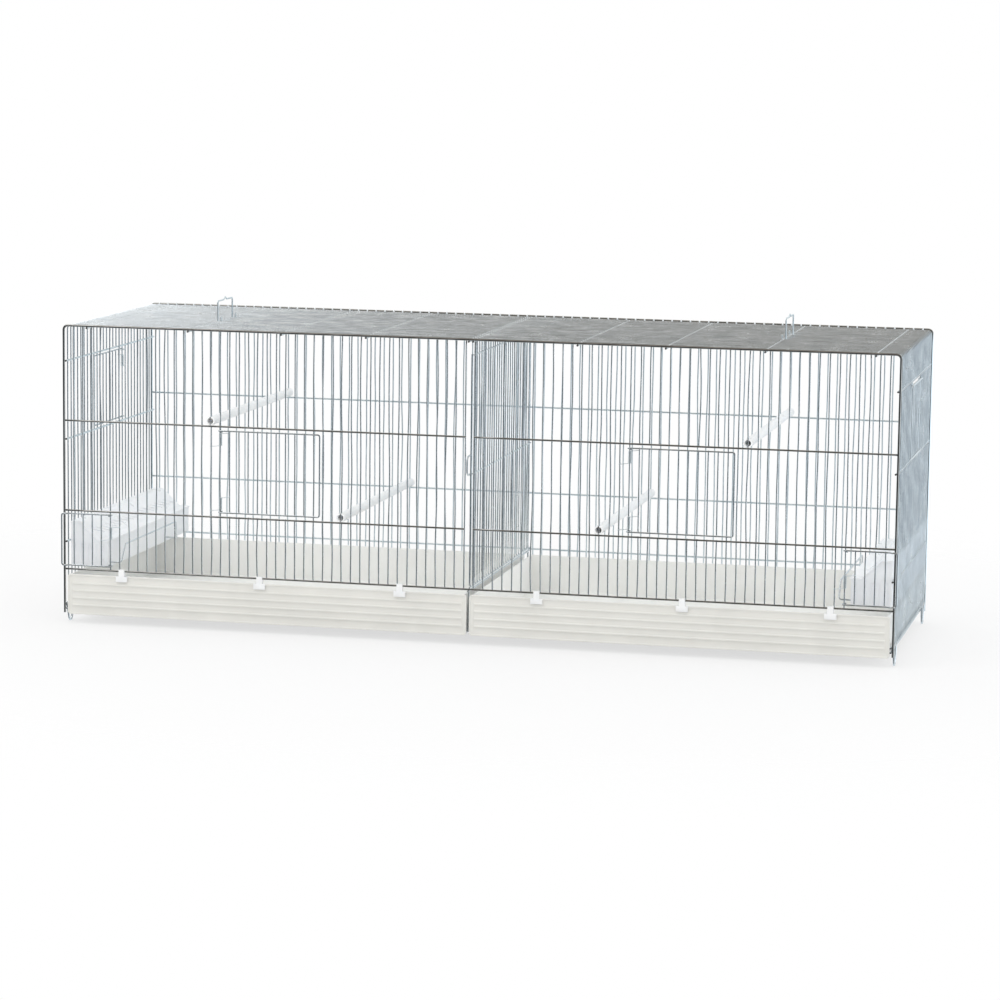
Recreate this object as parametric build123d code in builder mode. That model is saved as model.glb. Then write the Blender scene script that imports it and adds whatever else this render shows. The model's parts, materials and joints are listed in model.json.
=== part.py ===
# Double breeding cage of welded zinc-plated wire, with two plastic trays under it.
# X runs along the front from left to right, Y from the front to the back, Z is up.
# The origin is on the floor, under the middle of the outer box.

import os
from math import cos, radians, sin

from build123d import *

os.makedirs("parts", exist_ok=True)

# Wire spacing, in millimetres as everything here
wire_pitch = 13.5
front_pitches = 87  # from post to post, along the front
side_pitches = 28  # from post to post, along a side

# Heights of wire axes above the floor
top_z = 423.0
upper_rail_z = 289.0
lower_rail_z = 161.5
bottom_rail_z = 77.7
side_upper_z = 373.0
side_middle_z = 262.5
side_lower_z = 117.0
runner_upper_z = 27.2
runner_lower_z = 21.2
post_low = 15.0

# Wire diameters
frame_d = 3.4
wire_d = 2.0
rail_d = 2.6
door_d = 2.2
upright_d = 3.0
pull_d = 2.4
handle_d = 2.2
foot_d = 3.0
feeder_perch_d = 2.4
spring_d = 0.8

# Bends, welds and clearances
bend_r = 6.2  # top corners of the frames, on the wire's axis
cross_overhang = 1.0  # cross wires stand past the frame's axis
weld_gap = 0.02  # wires laid against each other
weld_sink = 0.2  # wires pressed into each other at a weld of one moving panel
eye_clear = 0.08  # wire eye on its hinge wire
door_clear = 0.3  # door frame in front of the wires it shuts against
slide_clear = 0.4  # trays on their runners

# Doors
main_hinge = 17  # hinge wire of each main door, counted within its half of the front
main_bars = 9
main_reach = 144.2  # hinge axis to free edge
main_top_gap = 6.0  # door frame below the upper rail, axis to axis
main_bottom_gap = 6.5
feeder_hinge = 5  # hinge wire of each corner door, counted from its post
feeder_reach_past = 3.2  # free edge past the post's axis
feeder_top_gap = 4.5
feeder_bottom_gap = 5.6
feeder_jog_start = 9.5  # where the corner door's frame starts to step round the post
feeder_jog_end = 4.0
side_hinge = 18  # hinge wire of each side door, counted from the front post
side_bars = 7
side_reach = 113.4
side_top_gap = 5.5
side_bottom_gap = 4.0
door_corner_r = 3.0
jog_corner_r = 2.5

# Door springs
spring_r = 2.0  # coil radius on the wire's axis
spring_pitch = 1.4
spring_turns = 12
spring_leg = 15.0
spring_end_gap = 4.0  # coil clear of the door's eye
left_feeder_spring_z = 122.0
right_feeder_spring_z = 105.5
left_side_spring_z = 342.0
right_side_spring_z = 320.0

# Roof cross wires, in pitches from the middle, and the guide pair for the divider
roof_cross_steps = (11, 20, 30, 41)
guide_x = 3.0

# Divider and its pull
divider_front = 12.0  # front upright behind the front frame
divider_back_gap = 0.5
divider_bar_top = 18.5  # bars above the ends of the uprights
divider_middle_z = 237.0
divider_rest_gap = 0.1  # bottom wire on the rails
guide_engage = 0.5  # bars past the guide pair's axis
pull_reach = 10.6  # pull's axis in front of the front frame
pull_height = 26.0
pull_bend_r = 7.0

# Feet
foot_set = 22.0  # foot behind the post
foot_bend_r = 6.0
foot_lean = 22.0  # legs from upright, in degrees
foot_top = 29.0
foot_flat = 0.4  # worn flat that the cage stands on

# Trays
tray_low = 15.0
tray_rim_z = 70.0
bezel_top_z = 70.5
bezel_low = 13.4
bezel_ahead = 1.2  # bezel's face in front of the front frame's axis
bezel_t = 4.0
bezel_corner_r = 4.0
bezel_side_gap = 4.6  # bezel's end from the post's axis
bezel_middle_gap = 2.0  # bezel's end from the middle
recess_depth = 1.0
recess_top = 2.0  # widths of the border round the recess
recess_side = 1.4
recess_bottom = 2.0
face_ribs = 4
face_rib_first = 13.1  # lowest rib above the bezel's lower edge
face_rib_step = 10.4
face_rib_h = 2.2
face_rib_proud = 1.2
face_rib_inset = 5.4
tray_wall = 2.0
tray_inset = 3.0  # tray wall behind the bezel's ends
tray_back_gap = 2.5
runner_rib_engage = 1.7  # runner rib over its wire
middle_rib_engage = 2.6
runner_rib_setback = 6.0

# Tray support between the trays
middle_runner_x = 3.0
middle_support_gap = 0.4  # hangers from the bezels and from the back wires

# Tray clips
clips_per_tray = 3
clip_first = 97.0  # nearest clip from the middle
clip_step = 202.5
clip_t = 1.8
clip_low = 7.8  # clip's lower end below the bezel's top
clip_wide = 16.8
clip_narrow = 8.4
clip_lip_t = 1.2
clip_gap = 0.3
clip_tongue_t = 1.4
clip_tongue_h = 9.0

# Perches: a column of the front each, on the upper or the lower rail
perch_d = 12.4
perch_bore_d = 8.6
perch_past = 5.0  # end in front of the wire it clips on
perch_slot_clear = 0.2
perch_rest_gap = 0.1
perches = {
    "upper_left_perch": (16, upper_rail_z),
    "lower_left_perch": (30, lower_rail_z),
    "lower_right_perch": (57, lower_rail_z),
    "upper_right_perch": (72, upper_rail_z),
}

# Feeders along the side walls
feeder_front = 12.0  # end face behind the front frame's axis
feeder_back_gap = 1.5
feeder_wall_gap = 0.6  # outer wall from the side cross wires
feeder_w = 55.3
feeder_low = 80.5
feeder_lip_z = 117.0
feeder_top_z = 142.0
feeder_top_w = 14.3
feeder_lip_w = 14.0
feeder_wall = 2.0
feeder_flutes = 5
feeder_flute_w = 3.0
feeder_flute_depth = 0.7
feeder_flute_margin = 4.0
lid_t = 2.0
lid_overhang = 1.0
lid_lip_overhang = 1.5
lid_groove_l = 32.0
lid_groove_w = 2.4
lid_groove_depth = 1.2
lid_groove_turn = 20.0  # degrees from the lid's length
lid_groove_pitch = 18.0
lid_groove_drop = 4.8  # below the middle of the slope
lid_groove_margin = 10.0
hook_gap = 0.1
hook_h = 2.6
hook_l = 20.0
hook_reach = 2.6
feeder_perch_out = 17.0  # perch wire from the feeder's wall
feeder_perch_low = 87.0
feeder_perch_high = 111.0
feeder_perch_front = 20.0
feeder_perch_rise = 17.0
feeder_perch_back = 262.0
feeder_perch_bend_r = 4.0

# Carrying handles on the roof
handle_cross = 30  # cross wire that carries a handle, in pitches from the middle
handle_legs_pitches = 5  # legs apart, in pitches
left_handle_row = 10.7  # front leg, in pitches behind the front frame
right_handle_row = 12.3
handle_h = 31.0
handle_bend_r = 3.5
handle_kink_h = 3.7
handle_kink_w = 7.0
handle_kink_r = 4.0
handle_tail_h = 8.5  # free end of a hook above the cross wire's axis

# Radii
frame_r = frame_d / 2
wire_r = wire_d / 2
rail_r = rail_d / 2
door_r = door_d / 2
pull_r = pull_d / 2
upright_r = upright_d / 2
handle_r = handle_d / 2
foot_r = foot_d / 2
perch_r = perch_d / 2

# Planes that the wires lie in: the front and back wires, the side wires and the roof wires are flush
# with the inner side of the two frames, the rails lie outside the wires and the cross wires inside
post_x = front_pitches * wire_pitch / 2
post_depth = side_pitches * wire_pitch
back_reach = perch_past - frame_r - weld_gap  # perch ends behind the back frame's axis
front_y = (pull_reach + pull_r - post_depth - back_reach) / 2
back_y = front_y + post_depth
front_wire_y = front_y + frame_r + weld_gap + wire_r
front_rail_y = front_wire_y - wire_r - weld_gap - rail_r
back_wire_y = back_y - frame_r - weld_gap - wire_r
back_rail_y = back_wire_y + wire_r + weld_gap + rail_r
side_wire_x = post_x - frame_r + wire_r
side_cross_x = post_x - frame_r - weld_gap - rail_r
roof_wire_z = top_z - frame_r + wire_r
roof_cross_z = top_z - frame_r - weld_gap - rail_r
wire_bend_r = bend_r - frame_r + wire_r
rail_end_x = post_x - frame_r - weld_gap
bezel_y = front_y - bezel_ahead
bezel_back_y = bezel_y + bezel_t
half_columns = (front_pitches - 1) // 2
spring_length = spring_turns * spring_pitch

pieces = []


def column_x(column):
    return (column - front_pitches / 2) * wire_pitch


def row_y(row):
    return front_y + row * wire_pitch


def keep(builder, label):
    builder.part.label = label
    pieces.append(builder.part)


def block(x_span, y_span, z_span, mode=Mode.ADD):
    spans = (x_span, y_span, z_span)
    with Locations(tuple(sum(span) / 2 for span in spans)):
        Box(*(abs(span[1] - span[0]) for span in spans), mode=mode)


def uprights(places, low, high, radius):
    with BuildSketch(Plane.XY.offset(low)) as section:
        with Locations(*places):
            Circle(radius)
    extrude(section.sketch, amount=high - low)


def wires_along_x(places, start, end, radius):
    with BuildSketch(Plane.YZ.offset(start)) as section:
        with Locations(*places):
            Circle(radius)
    extrude(section.sketch, amount=end - start)


def wires_along_y(places, start, end, radius):
    with BuildSketch(Plane.XZ.offset(-end)) as section:
        with Locations(*places):
            Circle(radius)
    extrude(section.sketch, amount=end - start)


def round_wire(route, radius):
    with BuildSketch(Plane(origin=route @ 0, z_dir=route % 0)) as section:
        Circle(radius)
    sweep(section.sketch, path=route)


def bent_wire(label, points, bends, radius):
    with BuildPart() as wire:
        with BuildLine(mode=Mode.PRIVATE) as route:
            FilletPolyline(*points, radius=bends)
        round_wire(route.wire(), radius)
    keep(wire, label)


# Front and back frames: one bent wire each
for label, plane_y in (("front_frame", front_y), ("back_frame", back_y)):
    corners = ((-post_x, post_low), (-post_x, top_z), (post_x, top_z), (post_x, post_low))
    bent_wire(label, [(x, plane_y, z) for x, z in corners], [bend_r, bend_r], frame_r)

# Front wires: cut away behind the main doors and the corner doors
main_hinges = (main_hinge, half_columns + main_hinge)
feeder_hinges = (feeder_hinge, front_pitches - feeder_hinge)
main_cut = {hinge + bar for hinge in main_hinges for bar in range(1, main_bars + 1)}
feeder_cut = {column for step in range(1, feeder_hinge) for column in (step, front_pitches - step)}
front_halves = {
    "front_wires_left": range(1, half_columns + 1),
    "front_wires_right": range(half_columns + 1, front_pitches),
}
for label, columns in front_halves.items():
    whole = [(column_x(k), front_wire_y) for k in columns if k not in main_cut | feeder_cut]
    over_door = [(column_x(k), front_wire_y) for k in columns if k in main_cut]
    over_feeder = [(column_x(k), front_wire_y) for k in columns if k in feeder_cut]
    with BuildPart() as front_wires:
        uprights(whole, bottom_rail_z - rail_r, top_z, wire_r)
        uprights(over_door, upper_rail_z - rail_r, top_z, wire_r)
        uprights(over_door, bottom_rail_z - rail_r, lower_rail_z + rail_r, wire_r)
        uprights(over_feeder, lower_rail_z - rail_r, top_z, wire_r)
    keep(front_wires, label)

# Front rails: two on each half, and one along the bottom of both
gap_edge_x = wire_pitch / 2 + wire_r
with BuildPart() as front_rails:
    rail_places = [(front_rail_y, upper_rail_z), (front_rail_y, lower_rail_z)]
    wires_along_x(rail_places, -rail_end_x, -gap_edge_x + wire_d, rail_r)
    wires_along_x(rail_places, gap_edge_x - wire_d, rail_end_x, rail_r)
keep(front_rails, "front_rails")

with BuildPart() as front_bottom_rail:
    wires_along_x([(front_rail_y, bottom_rail_z)], -rail_end_x, rail_end_x, rail_r)
keep(front_bottom_rail, "front_bottom_rail")

# Back grid
with BuildPart() as back_wires:
    back_places = [(column_x(k), back_wire_y) for k in range(1, front_pitches)]
    uprights(back_places, runner_upper_z, top_z + frame_r, wire_r)
keep(back_wires, "back_wires")

with BuildPart() as back_rails:
    rail_heights = (upper_rail_z, lower_rail_z, bottom_rail_z)
    wires_along_x([(back_rail_y, z) for z in rail_heights], -rail_end_x, rail_end_x, rail_r)
keep(back_rails, "back_rails")

# Roof wires, which turn down into the side wires at both ends
roof_end_x = side_wire_x - wire_bend_r
bend_low = roof_wire_z - wire_bend_r
with BuildPart() as roof_wires:
    roof_places = [(row_y(j), roof_wire_z) for j in range(1, side_pitches)]
    wires_along_x(roof_places, -roof_end_x + weld_gap, roof_end_x - weld_gap, wire_r)
keep(roof_wires, "roof_wires")

with BuildPart() as roof_bends:
    for side in (-1, 1):
        for j in range(1, side_pitches):
            start = (side * side_wire_x, row_y(j), bend_low)
            end = (side * roof_end_x, row_y(j), roof_wire_z)
            with BuildLine(mode=Mode.PRIVATE) as bend:
                TangentArc(start, end, tangent=(0, 0, 1))
            round_wire(bend.wire(), wire_r)
keep(roof_bends, "roof_bends")

with BuildPart() as roof_cross_wires:
    cross_places = [(side * k * wire_pitch, roof_cross_z) for k in roof_cross_steps for side in (-1, 1)]
    wires_along_y(cross_places, front_y - cross_overhang, back_y + cross_overhang, rail_r)
keep(roof_cross_wires, "roof_cross_wires")

with BuildPart() as divider_guides:
    guide_places = [(-guide_x, roof_cross_z), (guide_x, roof_cross_z)]
    wires_along_y(guide_places, front_y - cross_overhang, back_y + cross_overhang, rail_r)
keep(divider_guides, "divider_guides")

# Side wires: cut away behind the side doors
side_cut = set(range(side_hinge - side_bars, side_hinge))
for label, side in (("left", -1), ("right", 1)):
    wire_x = side * side_wire_x
    with BuildPart() as side_wires:
        for j in range(1, side_pitches):
            y = row_y(j)
            low = side_upper_z - rail_r if j in side_cut else runner_upper_z
            uprights([(wire_x, y)], low, bend_low - weld_gap, wire_r)
        below_door = [(wire_x, row_y(j)) for j in side_cut]
        uprights(below_door, runner_upper_z, side_middle_z + rail_r, wire_r)
    keep(side_wires, f"{label}_side_wires")

    with BuildPart() as side_cross_wires:
        heights = (side_upper_z, side_middle_z, side_lower_z)
        side_places = [(side * side_cross_x, z) for z in heights]
        wires_along_y(side_places, front_y - cross_overhang, back_y + cross_overhang, rail_r)
    keep(side_cross_wires, f"{label}_side_cross_wires")

    with BuildPart() as tray_runner:
        runner_places = [(side * side_cross_x, z) for z in (runner_upper_z, runner_lower_z)]
        wires_along_y(runner_places, front_y - cross_overhang, back_y + cross_overhang, rail_r)
    keep(tray_runner, f"{label}_tray_runner")

# Feet: a leaning loop on each pair of runners
foot_x = side_cross_x + rail_r + weld_gap + foot_r
foot_axis_z = foot_r - foot_flat + foot_bend_r
foot_places = {
    "front_left_foot": (-foot_x, front_y + foot_set),
    "front_right_foot": (foot_x, front_y + foot_set),
    "back_left_foot": (-foot_x, back_y - foot_set),
    "back_right_foot": (foot_x, back_y - foot_set),
}
for label, (x, y) in foot_places.items():
    lean = radians(foot_lean)
    touch_y = foot_bend_r * cos(lean)
    touch_z = foot_axis_z - foot_bend_r * sin(lean)
    leg = (foot_top - touch_z) / cos(lean)
    top_y = touch_y + leg * sin(lean)
    with BuildPart() as foot:
        with BuildLine(mode=Mode.PRIVATE) as loop:
            Line((x, y - top_y, foot_top), (x, y - touch_y, touch_z))
            ThreePointArc(
                (x, y - touch_y, touch_z), (x, y, foot_axis_z - foot_bend_r), (x, y + touch_y, touch_z)
            )
            Line((x, y + touch_y, touch_z), (x, y + top_y, foot_top))
        round_wire(loop.wire(), foot_r)
        split(bisect_by=Plane.XY, keep=Keep.TOP)
    keep(foot, label)

# Support between the trays: a wire under the bottom rails, two hangers and two runners
middle_top_z = bottom_rail_z - rail_r - weld_gap - rail_r
middle_cross_z = runner_lower_z - rail_d - weld_gap
support_rows = (
    bezel_back_y + middle_support_gap + rail_r,
    back_wire_y - wire_r - middle_support_gap - rail_r,
)
with BuildPart() as middle_tray_support:
    wires_along_y([(0, middle_top_z)], front_y - cross_overhang, back_y + cross_overhang, rail_r)
    hangers = [(0, y) for y in support_rows]
    uprights(hangers, middle_cross_z + rail_r + weld_gap, middle_top_z - rail_r - weld_gap, rail_r)
    cross_half = middle_runner_x + rail_r
    wires_along_x([(y, middle_cross_z) for y in support_rows], -cross_half, cross_half, rail_r)
    runner_pair = [(-middle_runner_x, runner_lower_z), (middle_runner_x, runner_lower_z)]
    wires_along_y(runner_pair, support_rows[0] - rail_r, support_rows[1] + rail_r, rail_r)
keep(middle_tray_support, "middle_tray_support")

# Divider: a loose wire panel that slides out at the front, between the two halves
divider_front_y = front_y + divider_front
divider_back_y = back_wire_y - wire_r - divider_back_gap - upright_r
divider_bottom_z = bottom_rail_z + rail_r + divider_rest_gap + wire_r
divider_bars_z = roof_cross_z + guide_engage
divider_top_z = divider_bars_z - divider_bar_top
divider_cross_x = wire_d + weld_gap
divider_upright_x = wire_r - upright_r  # flush with the bars, where the cross wires lie on both
divider_bars = int((divider_back_y - divider_front_y - wire_pitch / 2) / wire_pitch)
with BuildPart() as divider:
    upright_places = [(divider_upright_x, y) for y in (divider_front_y, divider_back_y)]
    uprights(upright_places, divider_bottom_z, divider_top_z, upright_r)
    bar_places = [(0, divider_front_y + i * wire_pitch) for i in range(1, divider_bars + 1)]
    uprights(bar_places, divider_bottom_z, divider_bars_z, wire_r)
keep(divider, "divider")

with BuildPart() as divider_cross_wires:
    cross_places = [(divider_cross_x, divider_top_z - wire_r), (divider_cross_x, divider_middle_z)]
    wires_along_y(cross_places, divider_front_y, divider_back_y, wire_r)
    rest_places = [(divider_cross_x, divider_bottom_z)]
    wires_along_y(rest_places, front_rail_y - rail_r, back_rail_y + rail_r, wire_r)
keep(divider_cross_wires, "divider_cross_wires")

pull_root_y = divider_front_y - upright_r - weld_gap
pull_tip_y = front_y - pull_reach
bent_wire(
    "divider_pull",
    [
        (divider_upright_x, pull_root_y, divider_middle_z + pull_height),
        (divider_upright_x, pull_tip_y, divider_middle_z + pull_height),
        (divider_upright_x, pull_tip_y, divider_middle_z),
        (divider_upright_x, pull_root_y, divider_middle_z),
    ],
    [pull_bend_r, pull_bend_r],
    pull_r,
)

# Doors: a bent frame wire with two eyes on a hinge wire, and bars welded behind it.
# A door is laid out along its panel (u), out of it (v) and up (z), from its hinge axis.
door_v = wire_r + door_clear + door_r
bar_v = door_v - door_r - wire_r + weld_sink
eye_r = wire_r + eye_clear + door_r
post_v = front_wire_y - front_y + frame_r + door_clear + door_r


def make_door(label, hinge, along, out, outline, bends, bars, low, high):
    def place(u, v):
        return (hinge[0] + u * along[0] + v * out[0], hinge[1] + u * along[1] + v * out[1])

    upper = [(*place(u, v), high) for u, v in outline]
    lower = [(*place(u, v), low) for u, v in reversed(outline)]
    with BuildPart() as door:
        with BuildLine(mode=Mode.PRIVATE) as route:
            FilletPolyline(*upper, *lower, radius=[*bends, *reversed(bends)])
        round_wire(route.wire(), door_r)
        with Locations((*hinge, low), (*hinge, high)):
            Torus(eye_r, door_r)
        bar_places = [place(bar * wire_pitch, bar_v) for bar in range(1, bars + 1)]
        uprights(bar_places, low - door_r / 2, high + door_r / 2, wire_r)
    keep(door, label)


main_low = lower_rail_z + main_bottom_gap
main_high = upper_rail_z - main_top_gap
main_outline = [(0, door_v), (main_reach, door_v)]
for label, hinge in zip(("left_main_door", "right_main_door"), main_hinges):
    pivot = (column_x(hinge), front_wire_y)
    make_door(label, pivot, (1, 0), (0, -1), main_outline, [door_corner_r], main_bars, main_low, main_high)

post_u = feeder_hinge * wire_pitch
feeder_low_z = bottom_rail_z + feeder_bottom_gap
feeder_high_z = lower_rail_z - feeder_top_gap
feeder_outline = [
    (0, door_v),
    (post_u - feeder_jog_start, door_v),
    (post_u - feeder_jog_end, post_v),
    (post_u + feeder_reach_past, post_v),
]
feeder_bends = [jog_corner_r, jog_corner_r, door_corner_r]
for label, hinge, way in zip(("left_feeder_door", "right_feeder_door"), feeder_hinges, (-1, 1)):
    pivot = (column_x(hinge), front_wire_y)
    make_door(
        label,
        pivot,
        (way, 0),
        (0, -1),
        feeder_outline,
        feeder_bends,
        feeder_hinge - 1,
        feeder_low_z,
        feeder_high_z,
    )

side_low = side_middle_z + side_bottom_gap
side_high = side_upper_z - side_top_gap
side_outline = [(0, door_v), (side_reach, door_v)]
for label, side in (("left_side_door", -1), ("right_side_door", 1)):
    pivot = (side * side_wire_x, row_y(side_hinge))
    make_door(label, pivot, (0, -1), (side, 0), side_outline, [door_corner_r], side_bars, side_low, side_high)

# Door springs: a coil round the hinge wire, with a leg on the door and a leg on the next wire.
# Each half turn of the coil is two arcs that meet in line with each other.


def coil_point(half_turn, low):
    angle = radians(180 * half_turn - 90)
    place = Vector(spring_r * cos(angle), spring_r * sin(angle), low + half_turn * spring_pitch / 2)
    rise = spring_pitch / radians(360)
    heading = Vector(-spring_r * sin(angle), spring_r * cos(angle), rise).normalized()
    return place, heading


def arc_meeting(start, start_way, end, end_way):
    span = end - start
    both = start_way + end_way
    a = 2 * (start_way.dot(end_way) - 1)
    b = -2 * span.dot(both)
    reach = (-b - (b * b - 4 * a * span.dot(span)) ** 0.5) / (2 * a)
    first = start + start_way * reach
    second = end - end_way * reach
    return (first + second) * 0.5, (second - first).normalized()


def make_spring(label, hinge, turn, low):
    def place(point):
        return point.rotate(Axis.Z, turn) + Vector(*hinge, 0)

    def heading(way):
        return way.rotate(Axis.Z, turn)

    stations = [coil_point(half_turn, low) for half_turn in range(2 * spring_turns + 1)]
    first, first_way = stations[0]
    last, last_way = stations[-1]
    with BuildPart() as spring:
        with BuildLine(mode=Mode.PRIVATE) as route:
            Line(place(first - first_way * spring_leg), place(first))
            for (start, start_way), (end, end_way) in zip(stations, stations[1:]):
                middle, middle_way = arc_meeting(start, start_way, end, end_way)
                TangentArc(place(start), place(middle), tangent=heading(start_way))
                TangentArc(place(middle), place(end), tangent=heading(middle_way))
            Line(place(last), place(last + last_way * spring_leg))
        round_wire(route.wire(), spring_d / 2)
    keep(spring, label)
    return route.wire()


def least_self_gap(route, points_per_turn=16):
    count = spring_turns * points_per_turn
    points = [route @ (i / count) for i in range(count + 1)]
    apart = 3.14 * spring_r * count / route.length
    gaps = [
        (points[i] - points[k]).length
        for i in range(count + 1)
        for k in range(i + 1, count + 1)
        if k - i > apart
    ]
    return min(gaps) - spring_d


for label, hinge in zip(("left_main", "right_main"), main_hinges):
    pivot = (column_x(hinge), front_wire_y)
    make_spring(f"{label}_upper_spring", pivot, 0, main_high - spring_end_gap - spring_length)
    make_spring(f"{label}_lower_spring", pivot, 0, main_low + spring_end_gap)
feeder_spring_z = (left_feeder_spring_z, right_feeder_spring_z)
for label, hinge, low in zip(("left_feeder", "right_feeder"), feeder_hinges, feeder_spring_z):
    make_spring(f"{label}_spring", (column_x(hinge), front_wire_y), 0, low)
for label, side, low in (("left_side", -1, left_side_spring_z), ("right_side", 1, right_side_spring_z)):
    coil = make_spring(f"{label}_spring", (side * side_wire_x, row_y(side_hinge)), side * 90, low)
print("least gap of a spring to itself:", round(least_self_gap(coil), 3))

# Trays: a drawer with a ribbed front, carried by a rib along each side
tray_back_y = back_wire_y - wire_r - tray_back_gap
bezel_in = bezel_middle_gap
bezel_out = post_x - bezel_side_gap
bezel_w = bezel_out - bezel_in
bezel_h = bezel_top_z - bezel_low
tray_in = bezel_in + tray_inset
tray_out = bezel_out - tray_inset
rib_low = runner_lower_z + rail_r + slide_clear
rib_high = runner_upper_z - rail_r - slide_clear
rib_out = side_cross_x - rail_r + runner_rib_engage
rib_in = middle_runner_x + rail_r - middle_rib_engage
for label, side in (("left_tray", -1), ("right_tray", 1)):
    bezel_x = side * (bezel_in + bezel_out) / 2
    bezel_z = (bezel_low + bezel_top_z) / 2
    recess_z = (bezel_low + recess_bottom + bezel_top_z - recess_top) / 2
    recess_w = bezel_w - 2 * recess_side
    recess_h = bezel_h - recess_top - recess_bottom
    face_x = Plane(origin=(bezel_x, bezel_y, 0), x_dir=(1, 0, 0), z_dir=(0, -1, 0))
    with BuildPart() as tray:
        with BuildSketch(face_x):
            with Locations((0, bezel_z)):
                RectangleRounded(bezel_w, bezel_h, bezel_corner_r)
        extrude(amount=-bezel_t)
        with BuildSketch(face_x):
            with Locations((0, recess_z)):
                RectangleRounded(recess_w, recess_h, bezel_corner_r - recess_depth / 2)
        extrude(amount=-recess_depth, mode=Mode.SUBTRACT)
        with BuildSketch(face_x.offset(-recess_depth)):
            rib_places = [
                (0, bezel_low + face_rib_first + i * face_rib_step) for i in range(face_ribs)
            ]
            with Locations(*rib_places):
                SlotOverall(recess_w - 2 * face_rib_inset, face_rib_h)
        extrude(amount=face_rib_proud)
        walls_x = (side * tray_in, side * tray_out)
        block(walls_x, (bezel_y + recess_depth + weld_sink, tray_back_y), (tray_low, tray_rim_z))
        inside_x = (side * (tray_in + tray_wall), side * (tray_out - tray_wall))
        inside_y = (bezel_back_y, tray_back_y - tray_wall)
        block(inside_x, inside_y, (tray_low + tray_wall, bezel_top_z), Mode.SUBTRACT)
        rib_y = (bezel_back_y + runner_rib_setback, tray_back_y)
        block((side * (tray_out - tray_wall / 2), side * rib_out), rib_y, (rib_low, rib_high))
        block((side * rib_in, side * (tray_in + tray_wall / 2)), rib_y, (rib_low, rib_high))
    keep(tray, label)

# Tray clips: each grips the bezel's upper border and takes the bottom rail in its jaw
clip_y = (bezel_y - clip_t, bezel_y)
clip_web_z = (bezel_top_z, bottom_rail_z - rail_r - clip_gap)
clip_lip_z = (bottom_rail_z + rail_r + clip_gap, bottom_rail_z + rail_r + clip_gap + clip_lip_t)
for label, side in (("left", -1), ("right", 1)):
    for i in range(clips_per_tray):
        x = side * (clip_first + i * clip_step)
        narrow = (x - clip_narrow / 2, x + clip_narrow / 2)
        wide = (x - clip_wide / 2, x + clip_wide / 2)
        tongue_y = (bezel_back_y, bezel_back_y + clip_tongue_t)
        with BuildPart() as clip:
            block(wide, clip_y, (bezel_top_z - clip_low, bezel_top_z))
            block(narrow, clip_y, (bezel_top_z, clip_lip_z[1]))
            block(narrow, (clip_y[0], front_rail_y), clip_lip_z)
            block(narrow, (clip_y[0], tongue_y[1]), clip_web_z)
            block(narrow, tongue_y, (bezel_top_z - clip_tongue_h, clip_web_z[1]))
        keep(clip, f"{label}_tray_clip_{i + 1}")

# Perches: tubes slotted at both ends, pushed on a front wire and a back wire
for label, (column, rail_z) in perches.items():
    x = column_x(column)
    z = rail_z + rail_r + perch_rest_gap + perch_r
    perch_y = (front_wire_y - wire_r - perch_past, back_wire_y + wire_r + perch_past)
    slot_x = (x - wire_r - perch_slot_clear, x + wire_r + perch_slot_clear)
    slot_in = perch_past + wire_d + perch_slot_clear
    with BuildPart() as perch:
        with BuildSketch(Plane.XZ.offset(-perch_y[1])):
            with Locations((x, z)):
                Circle(perch_r)
                Circle(perch_bore_d / 2, mode=Mode.SUBTRACT)
        extrude(amount=perch_y[1] - perch_y[0])
        slot_z = (z - perch_r, z + perch_r)
        block(slot_x, (perch_y[0], perch_y[0] + slot_in), slot_z, Mode.SUBTRACT)
        block(slot_x, (perch_y[1] - slot_in, perch_y[1]), slot_z, Mode.SUBTRACT)
    keep(perch, label)

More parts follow.
